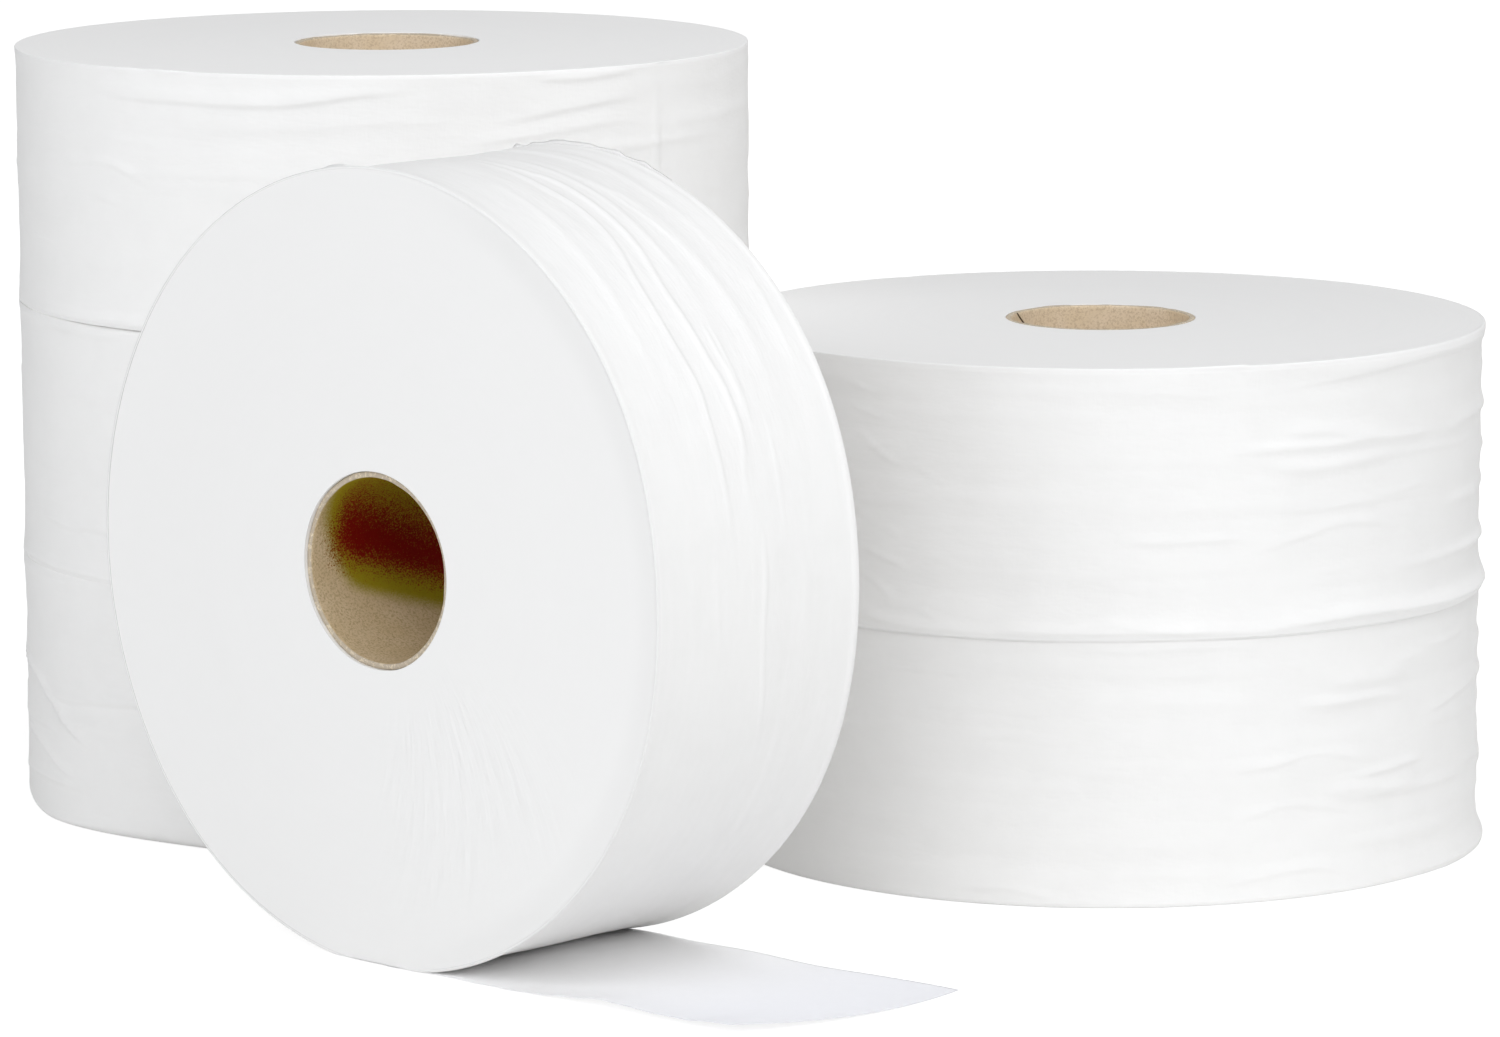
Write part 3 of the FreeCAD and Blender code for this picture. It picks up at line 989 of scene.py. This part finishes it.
RIGHT_BOTTOM_CREASES = [
    ([(-77, 43), (-71.2, 46.1), (-66.2, 47.0), (-61.7, 49.5), (-56.8, 49.0), (-50.2, 45.4), (-44, 45)],
     0.5, 1.0, 2.2),
    ([(-75, 27), (-70.0, 29.7), (-65.0, 32.5), (-58.5, 31.0), (-48.6, 25.7)], 0.45, 1.0, 2.2),
    ([(-76, 6), (-71.0, 8.0), (-61.5, 10.2), (-56.6, 8.9), (-50.6, 5.4)], 0.6, 1.0, 2.4),
    ([(-116, 56), (-111.7, 57.3), (-105.4, 58.2), (-96.4, 55.8)], 0.35, 1.0, 2.0),
    ([(-116, 5.0), (-110.6, 5.6), (-104.9, 5.7), (-96.9, 1.3)], 0.5, 0.9, 1.6),
    ([(-40, 55.5), (-33.4, 57.3), (-24.5, 59.8), (-14.5, 61.8), (-6, 66)], 0.7, 1.0, 2.6),
    ([(-65.2, 11.5), (-64.6, 15), (-63.5, 19), (-62.8, 22.5)], 0.35, 1.0, 1.4),
    ([(-68.2, 13.5), (-67.4, 17), (-66.6, 20)], 0.3, 0.9, 1.3),
    ([(-100, 90), (-90, 88.5), (-80, 89.4), (-66, 88.0)], 0.5, 1.2, 2.6),
    ([(-46, 3.0), (-30, 2.0), (-14, 1.6), (0, 1.8), (14, 2.4)], 1.5, 2.2, 4.5),
]
FRONT_CREASES = [
    ([(96, 51), (80.9, 51.5), (72.5, 52.2), (64.9, 51.1), (57.1, 52.7), (48.4, 57.5), (39.3, 58.3), (31, 56),
      (25.4, 56.5), (10, 56), (0, 55)], 0.62, 1.3, 1.2),
    ([(98, 49), (80.5, 46.8), (74.7, 43.7), (63, 43.4), (55.5, 44.6), (47.9, 47.9), (43.1, 47.9),
      (34.5, 46.6), (30.5, 44.8), (22.8, 44), (16.7, 46.7), (6, 45)], 0.62, 1.2, 1.4),
    ([(90, 33), (72.7, 30.5), (67.2, 27), (57.3, 26), (48.5, 24.5), (35, 24), (20, 26)], 0.4, 2.4, 3.2),
    ([(84, 66), (70, 68), (56, 70), (40, 72), (24, 71)], 0.3, 2.2, 2.8),
    ([(92, 40), (78, 37), (66, 36), (54, 37), (42, 36)], 0.34, 1.4, 2.0),
    ([(100, 20), (84, 14), (70, 15), (56, 13), (40, 15)], 0.35, 2.0, 2.6),
    ([(12, 42.5), (3.8, 42.2), (-6, 43.2), (-18.2, 39.7), (-24, 38)], 0.5, 1.0, 1.0),
    ([(100.5, 90.3), (97.5, 90.5), (94.5, 90.3)], 0.9, 0.9, 0.7),
]


# Looks of a tight and a loose roll, mostly in millimetres; rims and lips are for the lower and upper end
# Each roll's share of the paper's colour lightens or darkens the same tissue, as painted light and shade
CALM = dict(painted_light_share=1.015, slack=0.3, lips=((0.3, 3.0), (0.3, 3.0)), uneven=0.5, folds=0.20, wrinkles=0.06,
            crown=0.0, slumps=(), outline=leaning_left)
LOOSE = dict(CALM, painted_light_share=0.98, slack=1.0, folds=0.42, wrinkles=0.13, outline=upright)

# What rolls have in common: bearings in degrees, seams in turns, and bores in millimetres
STACK_BEARING = -17.8
LEFT_LOWER = dict(ring=400, side_rows=100, face_rows=(5, 5), touching=STACK_BEARING, seam_turn=0.45)
RIGHT = dict(ring=480, touching=STACK_BEARING + 180.0)
WIDE_BORE = dict(squash=-1.0, widened=1.5)


def build_rolls():
    """Every roll's paper and core, each with its own creases and material."""
    left_bottom = Roll("left_stack_bottom", seed=11, lap=100.0, **LEFT_LOWER)
    left_middle = Roll("left_stack_middle", seed=12, lap=168.0, **LEFT_LOWER)
    left_top = Roll("left_stack_top", seed=13, ring=480, side_rows=130, face_rows=(5, 24), lap=-41.2,
                    seam_turn=0.45, core_lift=0.5, **WIDE_BORE)
    right_bottom = Roll("right_stack_bottom", seed=14, side_rows=130, face_rows=(5, 5), lap=62.0,
                        seam_turn=0.45, **RIGHT)
    right_top = Roll("right_stack_top", seed=15, side_rows=140, face_rows=(5, 24), lap=118.0,
                     seam_turn=0.122, core_lift=1.7, **WIDE_BORE, **RIGHT)
    front = Roll("front_roll", seed=16, ring=480, side_rows=140, face_rows=(5, 26), squash=0.45,
                 uneven_bore=True)
    # A roll, its own creases, how many long, fine, broad and slanted stray ones it has, and its look
    plan = [
        (left_bottom, LEFT_BOTTOM_CREASES, (16, 24),
         dict(CALM, rims=(1.0, 0.25), slumps=(FRONT_SLUMP, LEFT_SLUMP))),
        (left_middle, LEFT_MIDDLE_CREASES, (14, 20), dict(CALM, rims=(0.25, 0.5), slumps=(GAP,))),
        (left_top, LEFT_TOP_CREASES, (14, 24),
         dict(CALM, rims=(0.5, 0.5), lips=((0.9, 3.0), (0.2, 3.0)))),
        (right_bottom, RIGHT_BOTTOM_CREASES, (30, 36, 12),
         dict(LOOSE, rims=(1.0, 0.5), lips=((0.7, 3.0), (-0.8, 4.0)))),
        (right_top, RIGHT_TOP_CREASES, (26, 36, 10, 8),
         dict(LOOSE, rims=(0.5, 0.5), lips=((1.1, 3.0), (0.6, 3.0)), crown=0.7)),
        (front, FRONT_CREASES, (6, 10),
         dict(CALM, painted_light_share=0.955, slack=0.5, rims=(0.3, 0.3), lips=((0.8, 1.6), (0.8, 3.2)), uneven=0.1,
              outline=settled)),
    ]
    for roll, creases, counts, look in plan:
        for count, kind in zip(counts, (LONG, FINE, BROAD, SLANTED)):
            creases = creases + stray_creases(roll.rng, count, **kind)
        tissue = paper_material(roll, look["painted_light_share"])
        dress(wound_paper(roll, creases, look), tissue)
        dress(core_tube(roll), board_material(roll))
        if not roll.lying:
            dress(loose_tail(roll), tail_material(roll))
            dress(torn_edge(roll), tissue)


# Studio

# Floor: its reach and the run of its glow in metres, strengths and colours
FLOOR_REACH = 9.0
FLOOR_GLOW = (0.35, 0.9, 0.84, 1.0)
FLOOR_SHADOW = (0.32, 0.32, 0.32, 1.0)
FLOOR_BOUNCE = (0.92, 0.92, 0.915, 1.0)
FLOOR_UNDERLIGHT = 0.07

# World and lamps
WORLD_LIGHT = 0.235
DAYLIGHT = (1.0, 0.99, 0.975, 1.0)
WHITE = (1, 1, 1, 1)
LIGHT_TARGET = Vector((0.0, -0.02, 0.13))
LAMP_WHITE = (0.965, 0.98, 1.0)
LAMP_COOL = (0.945, 0.965, 1.0)
LAMP_COLD = (0.88, 0.93, 1.0)

# Soft boxes: name, place and width in metres, power in watts, and colour
SOFT_BOXES = (
    ("main_light", (0, -2.2, 1.6), 1.6, 25.5, LAMP_WHITE),
    ("right_light", (1.45, -1.75, 1.25), 1.4, 3.4, LAMP_WHITE),
    ("left_light", (-1.45, -1.75, 1.25), 1.4, 12.6, LAMP_COOL),
    ("side_light_right", (4.0, -1.0, 1.4), 2.4, 26.0, LAMP_WHITE),
    ("side_light_left", (-2.4, -0.6, 0.9), 1.4, 4.6, LAMP_COLD),
    ("top_light", (0.7, -0.3, 2.4), 1.8, 21.0, LAMP_COOL),
)


def seen_directly(shader):
    """1 where the camera, a mirror or clear glass sees a thing, and 0 where it lights others."""
    path = shader.add("ShaderNodeLightPath").outputs
    direct = shader.math("MAXIMUM", path["Is Camera Ray"], path["Is Glossy Ray"])
    return shader.math("MAXIMUM", direct, path["Is Transmission Ray"])


def floor_plane():
    """A white floor that keeps the rolls' soft shadow."""
    mesh = bpy.data.meshes.new("studio_floor")
    corners = [(x * FLOOR_REACH, y * FLOOR_REACH, 0) for x, y in ((-1, -1), (1, -1), (1, 1), (-1, 1))]
    mesh.from_pydata(corners, [], [(0, 1, 2, 3)])
    floor = bpy.data.objects.new("studio_floor", mesh)
    bpy.context.scene.collection.objects.link(floor)
    material, shader = new_material("studio_floor_white")
    direct = seen_directly(shader)
    paint = shader.add("ShaderNodeBsdfDiffuse", {"Color": FLOOR_BOUNCE})
    under = shader.add("ShaderNodeEmission", {"Strength": FLOOR_UNDERLIGHT})
    bounce = shader.add("ShaderNodeAddShader", {0: paint.outputs[0], 1: under.outputs[0]})
    soft = shader.add("ShaderNodeBsdfDiffuse", {"Color": FLOOR_SHADOW})
    here = shader.add("ShaderNodeTexCoord").outputs["Object"]
    away = shader.add("ShaderNodeVectorMath", {0: here}, operation="LENGTH").outputs["Value"]
    glow = shader.add("ShaderNodeEmission", {"Strength": shader.ramp(away, *FLOOR_GLOW)})
    shown = shader.add("ShaderNodeAddShader", {0: soft.outputs[0], 1: glow.outputs[0]})
    mixed = shader.add("ShaderNodeMixShader", {0: direct, 1: bounce.outputs[0], 2: shown.outputs[0]})
    shader.add("ShaderNodeOutputMaterial", {"Surface": mixed.outputs[0]})
    mesh.materials.append(material)


def white_world():
    """An even white surround: full white where it is seen, plain daylight where it lights."""
    world = bpy.data.worlds.new("studio_world")
    bpy.context.scene.world = world
    world.use_nodes = True
    shader = Shader(world.node_tree)
    direct = seen_directly(shader)
    light = shader.add("ShaderNodeBackground", {"Color": DAYLIGHT, "Strength": WORLD_LIGHT})
    shown = shader.add("ShaderNodeBackground", {"Color": WHITE, "Strength": 1.0})
    mixed = shader.add("ShaderNodeMixShader", {0: direct, 1: light.outputs[0], 2: shown.outputs[0]})
    shader.add("ShaderNodeOutputWorld", {"Surface": mixed.outputs[0]})


def soft_box(name, place, size, power, colour):
    """A square studio light that faces the rolls."""
    light = bpy.data.lights.new(name, "AREA")
    light.shape = "SQUARE"
    light.size = size
    light.energy = power
    light.color = colour
    lamp = bpy.data.objects.new(name, light)
    lamp.location = place
    lamp.rotation_euler = (LIGHT_TARGET - Vector(place)).to_track_quat("-Z", "Y").to_euler()
    bpy.context.scene.collection.objects.link(lamp)


# Camera, fitted to the photo: place in metres, tilt down and roll in degrees, lens in millimetres
CAMERA_PLACE = (0.0026, -2.4042, 0.5029)
CAMERA_TILT = 9.02
CAMERA_ROLL = 0.18
CAMERA_LENS = 167.96
CAMERA_SENSOR = 36.0
CAMERA_CLIP_END = 50.0


def photo_camera():
    """The camera at the photograph's viewing angle."""
    lens = bpy.data.cameras.new("photo_camera")
    lens.sensor_width = CAMERA_SENSOR
    lens.lens = CAMERA_LENS
    lens.clip_end = CAMERA_CLIP_END
    camera = bpy.data.objects.new("photo_camera", lens)
    tilt = Matrix.Rotation(math.radians(90.0 - CAMERA_TILT), 4, "X")
    roll = Matrix.Rotation(math.radians(-CAMERA_ROLL), 4, "Z")
    camera.matrix_world = Matrix.Translation(CAMERA_PLACE) @ tilt @ roll
    bpy.context.scene.collection.objects.link(camera)
    bpy.context.scene.camera = camera


photo_camera()
floor_plane()
white_world()
for box in SOFT_BOXES:
    soft_box(*box)
build_rolls()
bpy.context.scene.view_settings.view_transform = "Standard"
